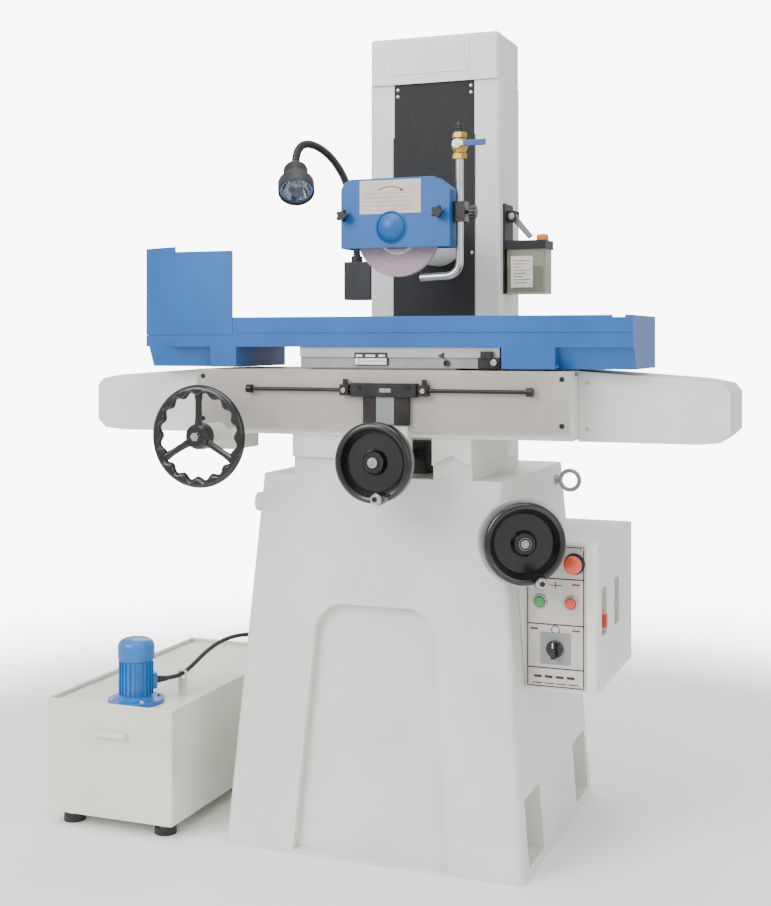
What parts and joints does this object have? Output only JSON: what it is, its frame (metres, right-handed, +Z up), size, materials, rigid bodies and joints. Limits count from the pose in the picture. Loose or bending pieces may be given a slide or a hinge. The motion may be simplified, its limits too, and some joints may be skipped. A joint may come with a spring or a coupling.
{
  "type": "surface grinder",
  "caption": "Manual surface grinder: tapered base, column with vertical wheelhead, cross saddle, travelling table with splash tray, handwheels, electrics and coolant tank.",
  "frame": {"origin": "centre of the base casting's footprint on the floor", "axes": "+X to the operator's right along the table, +Y away from the operator, +Z up"},
  "size_m": [1.42, 0.912, 1.727],
  "materials": {
    "ivory_paint": "satin ivory machine enamel on a fettled casting",
    "ivory_sheet": "ivory enamel on folded sheet",
    "taupe_paint": "machined and painted casting",
    "blue_paint": "blue enamel on folded sheet",
    "ground_iron": "ground",
    "black_plastic": "moulded phenolic",
    "dark_metal": "black satin sheet",
    "steel": "turned",
    "abrasive": "vitrified abrasive",
    "brass": "machined",
    "blue_plastic": "moulded grip",
    "panel_silver": "brushed and printed",
    "red_plastic": "moulded",
    "green_plastic": "moulded",
    "reservoir_plastic": "translucent moulded",
    "pump_metal": "die cast",
    "rubber": "matt"
  },
  "bodies": {
    "root": {"base_casting": "ivory_paint", "cable_gland": "black_plastic", "column_casting": "ivory_paint", "column_cap": "ivory_sheet", "column_shield": "dark_metal", "eyebolts": "steel", "cross_nut": "ground_iron", "electrical_cabinet": "ivory_sheet", "control_panel": "panel_silver", "lubricator_body": "pump_metal", "lubricator_reservoir": "reservoir_plastic", "lamp_box": "dark_metal", "tank_shell": "ivory_sheet", "tank_lid": "ivory_sheet", "pump_motor": "blue_paint", "pump_cable": "rubber"},
    "saddle": {"saddle_casting": "taupe_paint", "way_cover_left": "ivory_sheet", "way_cover_right": "ivory_sheet", "drive_belt": "rubber", "trip_rod": "steel"},
    "table": {"machine_table": "ground_iron", "splash_tray": "blue_paint", "splash_guard": "blue_paint"},
    "table_wheel": {"table_handwheel": "black_plastic", "drive_pulley": "steel"},
    "cross_wheel": {"cross_handwheel": "black_plastic", "cross_screw": "steel"},
    "cross_handle": {"cross_handle": "black_plastic"},
    "lift_wheel": {"elevating_handwheel": "black_plastic", "elevating_shaft": "steel"},
    "lift_handle": {"elevating_handle": "black_plastic"},
    "lift_screw": {"elevating_screw": "steel"},
    "head": {"wheelhead_casting": "ground_iron", "head_shield": "dark_metal", "spindle_bearings": "steel", "guard_shell": "blue_paint", "guard_cover": "blue_paint", "spindle_motor": "dark_metal", "nozzle_clamp": "black_plastic"},
    "spindle": {"spindle_shaft": "steel", "grinding_wheel": "abrasive", "wheel_flanges": "steel"},
    "knob_left": {"guard_knob_left": "black_plastic"},
    "knob_right": {"guard_knob_right": "black_plastic"},
    "nozzle": {"nozzle_pipe": "steel", "nozzle_valve": "brass"},
    "nozzle_screw": {"nozzle_knob": "black_plastic"},
    "valve": {"valve_lever": "blue_plastic"},
    "estop": {"estop_button": "red_plastic"},
    "start": {"start_button": "green_plastic"},
    "stop": {"stop_button": "red_plastic"},
    "switch": {"switch_knob": "black_plastic"},
    "breaker": {"breaker_lever": "red_plastic"},
    "pump_lever": {"lubricator_lever": "steel"},
    "lamp": {"lamp_arm": "dark_metal", "lamp_head": "dark_metal"},
    "dog_left": {"trip_dog_left": "dark_metal"},
    "dog_right": {"trip_dog_right": "dark_metal"},
    "rotor": {"pump_rotor": "steel"}
  },
  "joints": [
    {"name": "saddle_slide", "type": "slide", "parent": "root", "child": "saddle", "axis": [0, 1, 0], "range_m": [-0.11, 0.06]},
    {"name": "table_slide", "type": "slide", "parent": "saddle", "child": "table", "axis": [1, 0, 0], "range_m": [-0.24, 0.24]},
    {"name": "table_wheel_turn", "type": "hinge", "parent": "saddle", "child": "table_wheel", "pos_m": [-0.348, -0.36, 0.844], "axis": [0, -1, 0], "range_deg": [-870, 870]},
    {"name": "cross_wheel_turn", "type": "hinge", "parent": "saddle", "child": "cross_wheel", "pos_m": [0.04, -0.37, 0.804], "axis": [0, -1, 0], "range_deg": [-7922, 4322]},
    {"name": "cross_handle_spin", "type": "hinge", "parent": "cross_wheel", "child": "cross_handle", "pos_m": [0.06731, -0.385, 0.74118], "axis": [0, -1, 0], "continuous": true},
    {"name": "lift_wheel_turn", "type": "hinge", "parent": "root", "child": "lift_wheel", "pos_m": [0.313, -0.28, 0.65], "axis": [0.4384, -0.8988, 0], "range_deg": [-16204, 14404]},
    {"name": "lift_handle_spin", "type": "hinge", "parent": "lift_wheel", "child": "lift_handle", "pos_m": [0.33888, -0.28407, 0.5839], "axis": [0.4384, -0.8988, 0], "continuous": true},
    {"name": "lift_screw_turn", "type": "hinge", "parent": "root", "child": "lift_screw", "pos_m": [0.08899, 0.18, 0.65], "axis": [0, 0, 1], "range_deg": [-16204, 14404]},
    {"name": "head_slide", "type": "slide", "parent": "root", "child": "head", "axis": [0, 0, 1], "range_m": [-0.09, 0.08]},
    {"name": "spindle_spin", "type": "hinge", "parent": "head", "child": "spindle", "pos_m": [0.012, -0.161, 1.261], "axis": [0, -1, 0], "continuous": true},
    {"name": "guard_knob_left_turn", "type": "hinge", "parent": "head", "child": "knob_left", "pos_m": [-0.09, -0.21, 1.296], "axis": [0, -1, 0], "range_deg": [0, 720]},
    {"name": "guard_knob_right_turn", "type": "hinge", "parent": "head", "child": "knob_right", "pos_m": [0.117, -0.21, 1.298], "axis": [0, -1, 0], "range_deg": [0, 720]},
    {"name": "nozzle_slide", "type": "slide", "parent": "head", "child": "nozzle", "axis": [0, 0, 1], "range_m": [-0.02, 0.002]},
    {"name": "nozzle_knob_turn", "type": "hinge", "parent": "head", "child": "nozzle_screw", "pos_m": [0.17, -0.17, 1.3], "axis": [1, 0, 0], "range_deg": [0, 360]},
    {"name": "valve_lever_turn", "type": "hinge", "parent": "nozzle", "child": "valve", "pos_m": [0.148, -0.193, 1.437], "axis": [0, -1, 0], "range_deg": [0, 90]},
    {"name": "estop_press", "type": "slide", "parent": "root", "child": "estop", "axis": [0, 1, 0], "range_m": [0, 0.005], "stiffness_N_per_m": 800, "springref_m": -0.003},
    {"name": "start_press", "type": "slide", "parent": "root", "child": "start", "axis": [0, 1, 0], "range_m": [0, 0.004], "stiffness_N_per_m": 600, "springref_m": -0.003},
    {"name": "stop_press", "type": "slide", "parent": "root", "child": "stop", "axis": [0, 1, 0], "range_m": [0, 0.004], "stiffness_N_per_m": 600, "springref_m": -0.003},
    {"name": "switch_turn", "type": "hinge", "parent": "root", "child": "switch", "pos_m": [0.354, -0.21, 0.435], "axis": [0, -1, 0], "range_deg": [-45, 45]},
    {"name": "breaker_turn", "type": "hinge", "parent": "root", "child": "breaker", "pos_m": [0.4305, -0.13, 0.498], "axis": [0, -1, 0], "range_deg": [0, 120]},
    {"name": "pump_lever_pull", "type": "hinge", "parent": "root", "child": "pump_lever", "pos_m": [0.168, 0.16, 1.318], "axis": [0, -1, 0], "range_deg": [0, 35]},
    {"name": "lamp_swivel", "type": "hinge", "parent": "root", "child": "lamp", "pos_m": [-0.2, 0.13, 1.236], "axis": [0, 0, 1], "range_deg": [-60, 8]},
    {"name": "trip_dog_left_slide", "type": "slide", "parent": "saddle", "child": "dog_left", "axis": [1, 0, 0], "range_m": [-0.18, 0]},
    {"name": "trip_dog_right_slide", "type": "slide", "parent": "saddle", "child": "dog_right", "axis": [1, 0, 0], "range_m": [0, 0.18]},
    {"name": "pump_rotor_spin", "type": "hinge", "parent": "root", "child": "rotor", "pos_m": [-0.551, -0.266, 0.18], "axis": [0, 0, 1], "continuous": true}
  ],
  "couplings": [
    {"joint": "table_wheel_turn", "follows": "table_slide", "rad_per_m": 62.5},
    {"joint": "cross_wheel_turn", "follows": "saddle_slide", "rad_per_m": 1256.6},
    {"joint": "lift_wheel_turn", "follows": "head_slide", "rad_per_m": 3141.6},
    {"joint": "lift_screw_turn", "follows": "head_slide", "rad_per_m": 3141.6}
  ]
}
